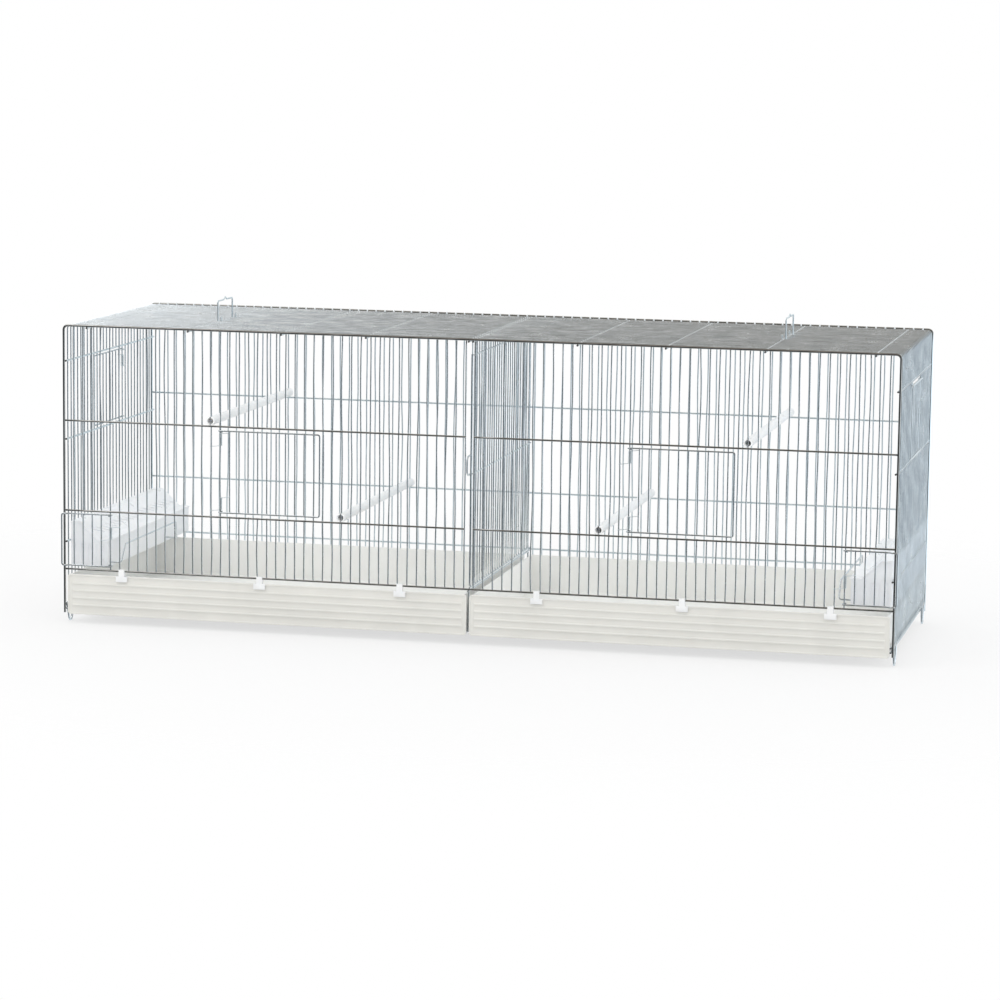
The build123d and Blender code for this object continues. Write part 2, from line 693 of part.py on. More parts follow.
# Feeders: an open trough that hangs on a side cross wire, a grooved lid and a wire to perch on
feeder_out = side_cross_x - rail_r - feeder_wall_gap
feeder_in = feeder_out - feeder_w
feeder_y = (front_y + feeder_front, back_wire_y - wire_r - feeder_back_gap)
feeder_l = feeder_y[1] - feeder_y[0]
slope_top_x = feeder_out - feeder_top_w
slope_foot_x = feeder_in + feeder_lip_w
for label, side in (("left", -1), ("right", 1)):
    crest = [(slope_foot_x, feeder_lip_z), (slope_top_x, feeder_top_z), (feeder_out, feeder_top_z)]
    outline = [(feeder_out, feeder_low), (feeder_in, feeder_low), (feeder_in, feeder_lip_z), *crest]
    hook_z = side_lower_z + rail_r + hook_gap
    with BuildPart() as feeder:
        with BuildSketch(Plane.XZ.offset(-feeder_y[1])):
            with BuildLine():
                Polyline(*[(side * x, z) for x, z in outline], close=True)
            make_face()
        extrude(amount=feeder_l)
        trough_x = (side * (feeder_in + feeder_wall), side * (feeder_out - feeder_wall))
        trough_y = (feeder_y[0] + feeder_wall, feeder_y[1] - feeder_wall)
        block(trough_x, trough_y, (feeder_low + feeder_wall, feeder_top_z), Mode.SUBTRACT)
        flute_step = feeder_w / feeder_flutes
        for i in range(feeder_flutes):
            x = side * (feeder_in + (i + 0.5) * flute_step)
            flute_x = (x - feeder_flute_w / 2, x + feeder_flute_w / 2)
            flute_z = (feeder_low + feeder_flute_margin, feeder_lip_z - feeder_flute_margin)
            block(flute_x, (feeder_y[0], feeder_y[0] + feeder_flute_depth), flute_z, Mode.SUBTRACT)
        for share in (0.25, 0.75):
            y = feeder_y[0] + share * feeder_l
            hook_x = (side * (feeder_out - feeder_wall / 2), side * (feeder_out + hook_reach))
            block(hook_x, (y - hook_l / 2, y + hook_l / 2), (hook_z, hook_z + hook_h))
    keep(feeder, f"{label}_feeder")

    lid_under = [(feeder_in - lid_lip_overhang, feeder_lip_z), *crest]
    lid_outline = lid_under + [(x, z + lid_t) for x, z in reversed(lid_under)]
    slope_x = (slope_top_x + slope_foot_x) / 2
    slope_z = (feeder_top_z + feeder_lip_z) / 2 + lid_t
    slope_out = (side * (feeder_lip_z - feeder_top_z), 0, slope_top_x - slope_foot_x)
    slope = Plane((side * slope_x, sum(feeder_y) / 2, slope_z), x_dir=(0, 1, 0), z_dir=slope_out)
    groove_room = feeder_l - 2 * lid_groove_margin - lid_groove_l
    grooves = int(groove_room / lid_groove_pitch) + 1
    with BuildPart() as lid:
        with BuildSketch(Plane.XZ.offset(-feeder_y[1])):
            with BuildLine():
                Polyline(*[(side * x, z) for x, z in lid_outline], close=True)
            make_face()
        extrude(amount=feeder_l + lid_overhang)
        with BuildSketch(slope):
            with Locations((0, side * lid_groove_drop)):
                with GridLocations(lid_groove_pitch, 1, grooves, 1):
                    SlotOverall(lid_groove_l, lid_groove_w, rotation=side * lid_groove_turn)
        extrude(amount=-lid_groove_depth, mode=Mode.SUBTRACT)
    keep(lid, f"{label}_feeder_lid")

    bar_x = side * (feeder_in - feeder_perch_out)
    root_x = side * (feeder_in - weld_gap)
    perch_front = front_y + feeder_perch_front
    perch_back = front_y + feeder_perch_back
    bent_wire(
        f"{label}_feeder_perch",
        [
            (root_x, perch_front, feeder_perch_low),
            (bar_x, perch_front, feeder_perch_low),
            (bar_x, perch_front + feeder_perch_rise, feeder_perch_high),
            (bar_x, perch_back, feeder_perch_high),
            (bar_x, perch_back, feeder_perch_low),
            (root_x, perch_back, feeder_perch_low),
        ],
        [feeder_perch_bend_r] * 4,
        feeder_perch_d / 2,
    )

# Carrying handles: a bent wire whose ends hook round a roof cross wire
hook_r = rail_r + eye_clear + handle_r
for label, side, row in (("left_handle", -1, left_handle_row), ("right_handle", 1, right_handle_row)):
    axis_x = side * handle_cross * wire_pitch
    leg_x = axis_x + side * hook_r
    tail_x = axis_x - side * hook_r
    legs_y = (row_y(row), row_y(row + handle_legs_pitches))
    bar_z = roof_cross_z + handle_h
    tail_z = roof_cross_z + handle_tail_h
    kink_y = sum(legs_y) / 2

    def hook_arc(y):
        return [(tail_x, y, roof_cross_z), (axis_x, y, roof_cross_z - hook_r), (leg_x, y, roof_cross_z)]

    bail = [
        (leg_x, legs_y[0], roof_cross_z),
        (leg_x, legs_y[0], bar_z),
        (leg_x, kink_y - handle_kink_w, bar_z),
        (leg_x, kink_y, bar_z + handle_kink_h),
        (leg_x, kink_y + handle_kink_w, bar_z),
        (leg_x, legs_y[1], bar_z),
        (leg_x, legs_y[1], roof_cross_z),
    ]
    bail_bends = [handle_bend_r, handle_kink_r, handle_kink_r, handle_kink_r, handle_bend_r]
    with BuildPart() as handle:
        with BuildLine(mode=Mode.PRIVATE) as route:
            Line((tail_x, legs_y[0], tail_z), (tail_x, legs_y[0], roof_cross_z))
            ThreePointArc(*hook_arc(legs_y[0]))
            FilletPolyline(*bail, radius=bail_bends)
            ThreePointArc(*reversed(hook_arc(legs_y[1])))
            Line((tail_x, legs_y[1], roof_cross_z), (tail_x, legs_y[1], tail_z))
        round_wire(route.wire(), handle_r)
    keep(handle, label)

for piece in pieces:
    export_step(piece, f"parts/{piece.label}.step")
print(len(pieces), "pieces written")
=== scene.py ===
# Double breeding cage: wire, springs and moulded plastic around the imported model
import json
import math
import random

import bmesh
import bpy
from mathutils import Matrix, Vector


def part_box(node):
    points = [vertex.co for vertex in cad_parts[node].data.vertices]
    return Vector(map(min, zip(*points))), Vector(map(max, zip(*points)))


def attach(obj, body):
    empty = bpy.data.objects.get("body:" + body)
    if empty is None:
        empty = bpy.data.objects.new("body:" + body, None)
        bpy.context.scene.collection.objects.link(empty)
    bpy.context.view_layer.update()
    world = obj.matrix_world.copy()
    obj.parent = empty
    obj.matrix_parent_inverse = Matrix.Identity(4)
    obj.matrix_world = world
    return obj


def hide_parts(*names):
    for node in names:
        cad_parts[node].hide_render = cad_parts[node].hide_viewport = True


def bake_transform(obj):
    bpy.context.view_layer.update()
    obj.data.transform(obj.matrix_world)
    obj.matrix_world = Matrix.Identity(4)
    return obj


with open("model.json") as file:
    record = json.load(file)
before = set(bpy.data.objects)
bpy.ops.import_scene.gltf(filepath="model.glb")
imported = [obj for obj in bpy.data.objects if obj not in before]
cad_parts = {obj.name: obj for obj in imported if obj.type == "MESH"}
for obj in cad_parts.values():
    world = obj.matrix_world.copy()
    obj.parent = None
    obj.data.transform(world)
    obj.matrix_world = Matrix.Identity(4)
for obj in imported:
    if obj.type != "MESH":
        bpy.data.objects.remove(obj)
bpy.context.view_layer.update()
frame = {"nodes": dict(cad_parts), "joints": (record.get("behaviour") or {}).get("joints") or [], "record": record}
nodes = frame["nodes"]
joints = {joint["name"]: joint for joint in frame["joints"]}
bodyOf = {n: b for b, members in frame["record"]["behaviour"]["bodies"].items() for n in members}
slotOf = {row["node"]: row["material_slot"] for row in frame["record"]["subparts"]}
mm = 0.001
pitch = 13.5 * mm  # wire spacing, all round
ex, ey, ez = Vector((1, 0, 0)), Vector((0, 1, 0)), Vector((0, 0, 1))
chance = random.Random(41)
print("frame loaded:", len(nodes), "nodes")


def linear(hexCode):  # sRGB hex to linear colour
    channels = [int(hexCode[i:i + 2], 16) / 255 for i in (1, 3, 5)]
    curve = [c / 12.92 if c <= 0.04045 else ((c + 0.055) / 1.055) ** 2.4 for c in channels]
    return (*curve, 1)


# A key is an input's name or number, or a property. A colour Mix has factor 0, colours 6 and 7, and output 2
def addNode(tree, kind, settings=None, links=None):
    node = tree.nodes.new(kind)
    for key, value in (settings or {}).items():
        if isinstance(key, int) or key in node.inputs:
            node.inputs[key].default_value = value
        else:
            setattr(node, key, value)
    for key, source in (links or {}).items():
        tree.links.new(source, node.inputs[key])
    return node


def startMaterial(name):
    material = bpy.data.materials.new(name)
    material.use_nodes = True
    tree = material.node_tree
    tree.nodes.clear()
    place = addNode(tree, "ShaderNodeTexCoord").outputs["Object"]  # metres
    return material, tree, place


def endMaterial(tree, settings, links):
    shader = addNode(tree, "ShaderNodeBsdfPrincipled", settings, links)
    addNode(tree, "ShaderNodeOutputMaterial", links={"Surface": shader.outputs["BSDF"]})


# Zinc: clouds go from shade through bright to bloom, and draw marks are coarser than life so that they show
zincFinish = {
    "bright": "#d9dee1", "shade": "#cbd1d5", "bloom": "#e6eaec", "metal": 1.0,
    "cloud": 30 * mm, "brightSpan": (0.30, 0.55), "bloomSpan": (0.55, 0.80),
    "gloss": (0.16, 0.30), "glossSpan": (0.3, 0.75),
    "grain": 0.5 * mm, "grainDepth": 0.05 * mm, "bump": 0.04,
}
# Painted highlight: a paler, bluer plating colour, standing in for the bright backdrop that these wires mirror
paleSheenFinish = {
    **zincFinish, "bright": "#dde6ea", "shade": "#ccd8de", "bloom": "#e9eff1", "gloss": (0.42, 0.55),
}
# Painted shade: a darker colour for the thick front wires, standing in for the dim room that they mirror
paintedDarkFinish = {
    **zincFinish, "bright": "#a8a7a4", "shade": "#989794", "bloom": "#b8b8b6", "gloss": (0.10, 0.20),
}
# Welds: matt whitish plating, made pale as a painted highlight for the bright dots along the cross wires
weldAndGlintFinish = {**paleSheenFinish, "bright": "#cdd3d6", "shade": "#b9c0c4", "metal": 0.25, "gloss": (0.5, 0.6)}
# Painted highlight: near-white spots where the back wires meet the top edge
topEdgeGlintFinish = {**weldAndGlintFinish, "bright": "#f2f5f6", "shade": "#e6eaec", "bloom": "#f6f8f9"}
# the springs keep that paler colour: painted highlight on the thin coils
springFinish = {**paleSheenFinish, "cloud": 3 * mm, "gloss": (0.34, 0.46)}
cutEnd = ("Y", -183.5 * mm, 1 * mm, "#6e6a66")  # from here to the front: bare steel at a cut end
paintedPostHighlight = ("Z", 421 * mm, 15 * mm, "#dde6ea")  # from here down: painted highlight, a paler colour where the posts mirror the bright backdrop


def zincWire(name, finish):  # bright zinc plating on drawn steel: cool mirror with dull clouds
    material, tree, place = startMaterial(name)
    cloud = addNode(tree, "ShaderNodeTexNoise",
                    {"Scale": 1 / finish["cloud"], "Detail": 4.0, "Roughness": 0.6},
                    {"Vector": place}).outputs["Fac"]
    grain = addNode(tree, "ShaderNodeTexNoise", {"Scale": 1 / finish["grain"], "Detail": 2.0},
                    {"Vector": place}).outputs["Fac"]
    low, high = finish["brightSpan"]
    clear = addNode(tree, "ShaderNodeMapRange", {"From Min": low, "From Max": high},
                    {"Value": cloud}).outputs["Result"]
    low, high = finish["bloomSpan"]
    hazy = addNode(tree, "ShaderNodeMapRange", {"From Min": low, "From Max": high},
                   {"Value": cloud}).outputs["Result"]
    plating = addNode(tree, "ShaderNodeMix",
                      {"data_type": "RGBA", 6: linear(finish["shade"]), 7: linear(finish["bright"])},
                      {0: clear}).outputs[2]
    colour = addNode(tree, "ShaderNodeMix", {"data_type": "RGBA", 7: linear(finish["bloom"])},
                     {0: hazy, 6: plating}).outputs[2]
    if "beyond" in finish:  # past a level on one axis the colour is another
        axis, level, fade, tint = finish["beyond"]
        reach = addNode(tree, "ShaderNodeSeparateXYZ", links={0: place}).outputs[axis]
        past = addNode(tree, "ShaderNodeMapRange", {"From Min": level, "From Max": level - fade},
                       {"Value": reach}).outputs["Result"]
        colour = addNode(tree, "ShaderNodeMix", {"data_type": "RGBA", 7: linear(tint)},
                         {0: past, 6: colour}).outputs[2]
    low, high = finish["glossSpan"]
    sharp, hazed = finish["gloss"]
    gloss = addNode(tree, "ShaderNodeMapRange",
                    {"From Min": low, "From Max": high, "To Min": sharp, "To Max": hazed},
                    {"Value": cloud}).outputs["Result"]
    bump = addNode(tree, "ShaderNodeBump", {"Strength": finish["bump"], "Distance": finish["grainDepth"]},
                   {"Height": grain}).outputs["Normal"]
    endMaterial(tree, {"Metallic": finish["metal"]},
                {"Base Color": colour, "Roughness": gloss, "Normal": bump})
    return material


# Plastic: faint flow clouds go from shade to body, and a little light spreads below the surface
plasticFinish = {
    "flowSpan": (0.3, 0.7), "grainDepth": 0.1 * mm, "ior": 1.5,
    "spread": (4 * mm, 3.5 * mm, 3 * mm), "spreadScale": 0.6,
}
whiteFinish = {
    **plasticFinish, "body": "#f1f2f2", "shade": "#e9eaeb", "flow": 18 * mm, "grain": 0.8 * mm,
    "gloss": (0.32, 0.44), "bump": 0.10, "depth": 0.10,
}
lidFinish = {
    **plasticFinish, "body": "#f5f6f8", "shade": "#eef0f2", "flow": 30 * mm, "grain": 0.8 * mm,
    "gloss": (0.26, 0.38), "bump": 0.08, "depth": 0.12,
}
feederFinish = {
    **plasticFinish, "body": "#f0f2f4", "shade": "#e9ebee", "flow": 30 * mm, "grain": 0.8 * mm,
    "gloss": (0.28, 0.4), "bump": 0.08, "depth": 0.10,
}
trayFinish = {
    **plasticFinish, "body": "#f2f2ef", "shade": "#ecece9", "flow": 60 * mm, "grain": 1.1 * mm,
    "gloss": (0.40, 0.52), "bump": 0.14, "depth": 0.06,
    # front: painted shade on the faces turned to the front, which leaves the ribs' tops paler as a painted
    # highlight
    "front": (-184.2 * mm, 0.3 * mm, "#eeedea"), "paintedShadeSpan": (-0.70, -0.98),
}


def mouldedPlastic(name, finish):  # injection moulded: even colour, faint clouds, fine spark-eroded grain
    material, tree, place = startMaterial(name)
    flow = addNode(tree, "ShaderNodeTexNoise",
                   {"Scale": 1 / finish["flow"], "Detail": 3.0, "Distortion": 0.6},
                   {"Vector": place}).outputs["Fac"]
    grain = addNode(tree, "ShaderNodeTexNoise", {"Scale": 1 / finish["grain"], "Detail": 2.0},
                    {"Vector": place}).outputs["Fac"]
    low, high = finish["flowSpan"]
    filled = addNode(tree, "ShaderNodeMapRange", {"From Min": low, "From Max": high},
                     {"Value": flow}).outputs["Result"]
    colour = addNode(tree, "ShaderNodeMix",
                     {"data_type": "RGBA", 6: linear(finish["shade"]), 7: linear(finish["body"])},
                     {0: filled}).outputs[2]
    if "front" in finish:  # painted shade: the flat front faces get a greyer tint than the rest, and the ribs' upward faces stay paler as a painted highlight
        edge, fade, tint = finish["front"]
        depth = addNode(tree, "ShaderNodeSeparateXYZ", links={0: place}).outputs["Y"]
        ahead = addNode(tree, "ShaderNodeMapRange", {"From Min": edge, "From Max": edge - fade},
                        {"Value": depth}).outputs["Result"]
        lookout = addNode(tree, "ShaderNodeNewGeometry").outputs["Normal"]
        facing = addNode(tree, "ShaderNodeSeparateXYZ", links={0: lookout}).outputs["Y"]
        tilted, square = finish["paintedShadeSpan"]
        flat = addNode(tree, "ShaderNodeMapRange", {"From Min": tilted, "From Max": square},
                       {"Value": facing}).outputs["Result"]
        paintedShadeShare = addNode(tree, "ShaderNodeMath", {"operation": "MULTIPLY"},
                       {0: ahead, 1: flat}).outputs["Value"]
        colour = addNode(tree, "ShaderNodeMix",
                         {"data_type": "RGBA", "blend_type": "MULTIPLY", 7: linear(tint)},
                         {0: paintedShadeShare, 6: colour}).outputs[2]
    sharp, hazed = finish["gloss"]
    gloss = addNode(tree, "ShaderNodeMapRange",
                    {"From Min": low, "From Max": high, "To Min": sharp, "To Max": hazed},
                    {"Value": flow}).outputs["Result"]
    bump = addNode(tree, "ShaderNodeBump", {"Strength": finish["bump"], "Distance": finish["grainDepth"]},
                   {"Height": grain}).outputs["Normal"]
    endMaterial(tree, {"Metallic": 0.0, "IOR": finish["ior"], "Subsurface Weight": finish["depth"],
                       "Subsurface Radius": finish["spread"], "Subsurface Scale": finish["spreadScale"]},
                {"Base Color": colour, "Roughness": gloss, "Normal": bump})
    return material


materials = {  # one for each slot, then the looks that some wires take instead
    "zinc_wire": zincWire("zincPlatedWire", zincFinish),
    "spring_steel": zincWire("platedSpringWire", springFinish),
    "white_plastic": mouldedPlastic("whitePolypropylene", whiteFinish),
    "lid_plastic": mouldedPlastic("whitePolystyrene", lidFinish),
    "feeder_plastic": mouldedPlastic("coolWhitePolystyrene", feederFinish),
    "tray_plastic": mouldedPlastic("offWhitePolypropylene", trayFinish),
    # paler and hazier: a paler, bluer colour, painted highlight in place of the bright backdrop that these wires
    # mirror
    "paleSheenZinc": zincWire("paleSheenZincWire", paleSheenFinish),
    # thick front wires: painted shade, a darker colour in place of the dim room that they mirror, with a sharper
    # mirror
    "paintedDarkZinc": zincWire("paintedDarkDrawnWire", paintedDarkFinish),
    # painted shade on the top edge, painted highlight on the pale posts
    "paintedShadeAndHighlight": zincWire("paintedDarkTopPalePostsWire", {**paintedDarkFinish, "beyond": paintedPostHighlight}),
    # a dark dot at each front end
    "cutZinc": zincWire("zincWireBareEnds", {**zincFinish, "beyond": cutEnd}),
    # the same, with the painted highlight: paler along its length
    "cutPaleSheen": zincWire("paleSheenWireBareEnds", {**paleSheenFinish, "beyond": cutEnd}),
    # white spots along the back's top edge: painted highlight where the back wires meet the frame
    "paintedGlint": zincWire("paintedGlintZinc", topEdgeGlintFinish),
    # whitish matt plating on a squeezed weld, partly painted highlight: pale so that the welds show as bright dots
    # along the cross wires
    "weld": zincWire("mattWeldAndGlint", weldAndGlintFinish),
}
print("materials made:", len(materials))

sharpWire = 60  # degrees between faces, past which a wire's shading breaks


class MeshStock:  # collects tubes and beads for one piece
    def __init__(self):
        self.points = []
        self.faces = []

    def tube(self, path, radius, sides=12, domed=0.18):  # domed is a share of the radius
        count = len(path)
        headings = []
        for i in range(count):
            step = path[min(i + 1, count - 1)] - path[max(i - 1, 0)]
            headings.append(step.normalized())
        side = headings[0].orthogonal().normalized()
        rings = []
        for i in range(count):
            side = (side - headings[i] * side.dot(headings[i])).normalized()
            rings.append((path[i], headings[i], side, radius))
        inset = radius * domed  # cut ends are slightly rounded over
        first, last = rings[0], rings[-1]
        rings[0] = (first[0] + first[1] * inset, *first[1:])
        rings[-1] = (last[0] - last[1] * inset, *last[1:])
        rings.insert(0, (first[0], first[1], first[2], radius - inset))
        rings.append((last[0], last[1], last[2], radius - inset))
        start = len(self.points)
        for centre, heading, across, size in rings:
            up = heading.cross(across)
            for k in range(sides):
                angle = 2 * math.pi * k / sides
                self.points.append(centre + (across * math.cos(angle) + up * math.sin(angle)) * size)
        for i in range(len(rings) - 1):
            low, high = start + i * sides, start + (i + 1) * sides
            for k in range(sides):
                after = (k + 1) % sides
                self.faces.append((low + k, low + after, high + after, high + k))
        self.faces.append(tuple(start + k for k in reversed(range(sides))))
        end = start + (len(rings) - 1) * sides
        self.faces.append(tuple(end + k for k in range(sides)))

    def bead(self, centre, size, axis, rings=4, sides=8):  # squeezed weld, size[0] along the axis
        start = len(self.points)
        along = axis.normalized()
        across = along.orthogonal().normalized()
        up = along.cross(across)
        self.points.append(centre - along * size[0])
        for i in range(1, rings):
            turn = math.pi * i / rings
            for k in range(sides):
                angle = 2 * math.pi * k / sides
                ring = across * math.cos(angle) * size[1] + up * math.sin(angle) * size[1]
                self.points.append(centre - along * math.cos(turn) * size[0] + ring * math.sin(turn))
        self.points.append(centre + along * size[0])
        tip = len(self.points) - 1
        for k in range(sides):
            after = (k + 1) % sides
            self.faces.append((start, start + 1 + after, start + 1 + k))
            self.faces.append((tip, tip - sides + k, tip - sides + after))
            for i in range(rings - 2):
                low, high = start + 1 + i * sides, start + 1 + (i + 1) * sides
                self.faces.append((low + k, low + after, high + after, high + k))

    def piece(self, name, slot, body, replaced, look=None):
        mesh = bpy.data.meshes.new(name)
        mesh.from_pydata([tuple(p) for p in self.points], [], self.faces)
        mesh.shade_smooth()
        mesh.set_sharp_from_angle(angle=math.radians(sharpWire))
        obj = bpy.data.objects.new(name, mesh)
        bpy.context.scene.collection.objects.link(obj)
        mesh.materials.append(materials[look or slot])
        if replaced:
            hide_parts(*replaced)
        if body:
            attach(obj, body)
        return obj


def solidBoxes(node, merge=1e-6):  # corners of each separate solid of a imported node
    shape = bmesh.new()
    shape.from_mesh(nodes[node].data)
    bmesh.ops.remove_doubles(shape, verts=shape.verts, dist=merge)
    boxes, seen = [], set()
    for vert in shape.verts:
        if vert in seen:
            continue
        seen.add(vert)
        queue, group = [vert], []
        while queue:
            here = queue.pop()
            group.append(here.co.copy())
            for edge in here.link_edges:
                other = edge.other_vert(here)
                if other not in seen:
                    seen.add(other)
                    queue.append(other)
        boxes.append(tuple(Vector([pick(p[i] for p in group) for i in range(3)]) for pick in (min, max)))
    shape.free()
    return sorted(boxes, key=lambda b: tuple(round(v, 5) for v in b[0]))


def straightWires(node):  # (start, end, radius) of each straight wire
    wires = []
    for low, high in solidBoxes(node):
        size = high - low
        along = max(range(3), key=lambda i: size[i])
        radius = sorted(size)[0] / 2
        start, end = (low + high) / 2, (low + high) / 2
        start[along], end[along] = low[along], high[along]
        wires.append((start, end, radius))
    return wires


# Handled wire: slope at the welds, belly between them, and the share of both that each kind of wire takes
wander = {
    "lean": 0.016, "belly": 0.45 * mm, "bellySpan": 120 * mm, "step": 11 * mm, "leastSpan": 0.01 * mm,
    "upright": 1.0, "hoop": 0.5, "hoopDepth": 0.15, "doorBar": 0.35, "dividerBar": 1.6, "dividerEdge": 0.4,
}


def wavyPath(start, end, welds, sway, depth, amount, depthShare=0.5):  # true at its welds, wanders between
    heading = (end - start).normalized()
    length = (end - start).length
    stops = [0.0] + sorted(w for w in welds if 0 < w < length) + [length]
    stops = [s for i, s in enumerate(stops) if i == 0 or s - stops[i - 1] > wander["leastSpan"]]
    leans = [[chance.gauss(0, wander["lean"]) * amount for s in stops] for axis in range(2)]
    path = []
    for i in range(len(stops) - 1):
        span = stops[i + 1] - stops[i]
        share = min(1, span / wander["bellySpan"])
        bellies = [chance.gauss(0, wander["belly"]) * amount * share for axis in range(2)]
        pieces = max(2, round(span / wander["step"]))
        for k in range(pieces + (i == len(stops) - 2)):
            t = k / pieces
            offsets = []
            for axis in range(2):
                bend = (t ** 3 - 2 * t * t + t) * leans[axis][i] + (t ** 3 - t * t) * leans[axis][i + 1]
                offsets.append(bend * span + bellies[axis] * 16 * (t * (1 - t)) ** 2)  # full half way along
            path.append(start + heading * (stops[i] + t * span) + sway * offsets[0]
                        + depth * (offsets[1] * depthShare))
    return path


def roundedPath(corners, bends, sides=8):  # straight runs with an arc at each corner
    path = [corners[0]]
    for before, here, after, bend in zip(corners, corners[1:], corners[2:], bends):
        back, ahead = (before - here).normalized(), (after - here).normalized()
        half = back.angle(ahead) / 2
        reach = bend / math.tan(half)
        centre = here + (back + ahead).normalized() * (bend / math.sin(half))
        first, last = here + back * reach - centre, here + ahead * reach - centre
        whole = first.angle(last)
        for k in range(sides + 1):
            t = k / sides
            swing = first * math.sin((1 - t) * whole) + last * math.sin(t * whole)
            path.append(centre + swing / math.sin(whole))
    return path + [corners[-1]]


def dividedPath(path, step):
    fine = [path[0]]
    for before, after in zip(path, path[1:]):
        pieces = max(1, round((after - before).length / step))
        fine += [before.lerp(after, k / pieces) for k in range(1, pieces + 1)]
    return fine


# Rails, cross wires and runners, each with its look
straightLooks = {
    "front_rails": "paintedDarkZinc", "front_bottom_rail": "paintedDarkZinc", "back_rails": "paleSheenZinc",
    "roof_cross_wires": "cutZinc", "divider_guides": "cutZinc",
    "left_side_cross_wires": "cutPaleSheen", "right_side_cross_wires": "cutPaleSheen",
    "left_tray_runner": None, "right_tray_runner": None, "middle_tray_support": None,
}
straightStep = 40 * mm
for node, look in straightLooks.items():
    stock = MeshStock()
    for start, end, radius in straightWires(node):
        stock.tube(dividedPath([start, end], straightStep), radius)
    stock.piece(f"{node}_drawn", "zinc_wire", "cage", [node], look)

# Frames: two posts and the top edge, bent from one wire
frameShape = {"bend": 6.2 * mm, "step": 40 * mm, "sides": 16}
frameLooks = {"front_frame": "paintedDarkZinc", "back_frame": "paintedShadeAndHighlight"}
frameWires = {}
for node, look in frameLooks.items():
    low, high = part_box(node)
    radius = (high.y - low.y) / 2
    y = (low.y + high.y) / 2
    left, right, top = low.x + radius, high.x - radius, high.z - radius
    corners = [Vector((x, y, z)) for x, z in ((left, low.z), (left, top), (right, top), (right, low.z))]
    path = dividedPath(roundedPath(corners, [frameShape["bend"]] * 2), frameShape["step"])
    stock = MeshStock()
    stock.tube(path, radius, frameShape["sides"])
    stock.piece(f"{node}_bent", "zinc_wire", "cage", [node], look)
    frameWires[node] = {"top": top, "radius": radius}
print("frames and rails drawn")

# Upright wires of the front and back, wandering a little between their welds
hingeColumns = {round(joint["pos_m"][0], 4) for name, joint in joints.items() if "door" in name}
railHeights = {node: sorted({round(s.z, 5) for s, e, r in straightWires(node)})
               for node in ("front_rails", "front_bottom_rail", "back_rails")}
frontWelds = [*railHeights["front_rails"], *railHeights["front_bottom_rail"],
              frameWires["front_frame"]["top"]]
backWelds = [*railHeights["back_rails"], frameWires["back_frame"]["top"]]
uprightRuns = {"front_wires_left": (frontWelds, "front"), "front_wires_right": (frontWelds, "front"),
               "back_wires": (backWelds, "back")}
weldLooks = {"front": None, "back": "paleSheenZinc", "edge": "paintedGlint", "roof": "weld", "sides": "weld"}
beads = {face: MeshStock() for face in weldLooks}
weldSize = (1.5 * mm, 1.05 * mm)  # half length and radius of a bead
pinchSize = (2.2 * mm, 1.22 * mm)  # squeezed spot on a wire whose cross wire lies behind it
weldReach = 2 * mm  # a wire may end this far from its last weld
for node, (welds, face) in uprightRuns.items():
    stock = MeshStock()
    outward = -ey if face == "front" else ey
    for start, end, radius in straightWires(node):
        hinge = face == "front" and round(start.x, 4) in hingeColumns  # a hinge wire is straight
        stops = [z - start.z for z in welds]
        stock.tube(wavyPath(start, end, stops, ex, ey, 0.0 if hinge else wander["upright"]), radius)
        for z in welds:
            if start.z - weldReach < z < end.z + weldReach:
                beads[face].bead(Vector((start.x, start.y, z)) + outward * radius, weldSize, ez)
        if face == "back":
            beads["edge"].bead(Vector((start.x, start.y, end.z - pinchSize[0] / 2)), pinchSize, ez)
    stock.piece(f"{node}_drawn", "zinc_wire", "cage", [node], "paleSheenZinc" if face == "back" else None)
print("upright wires drawn")

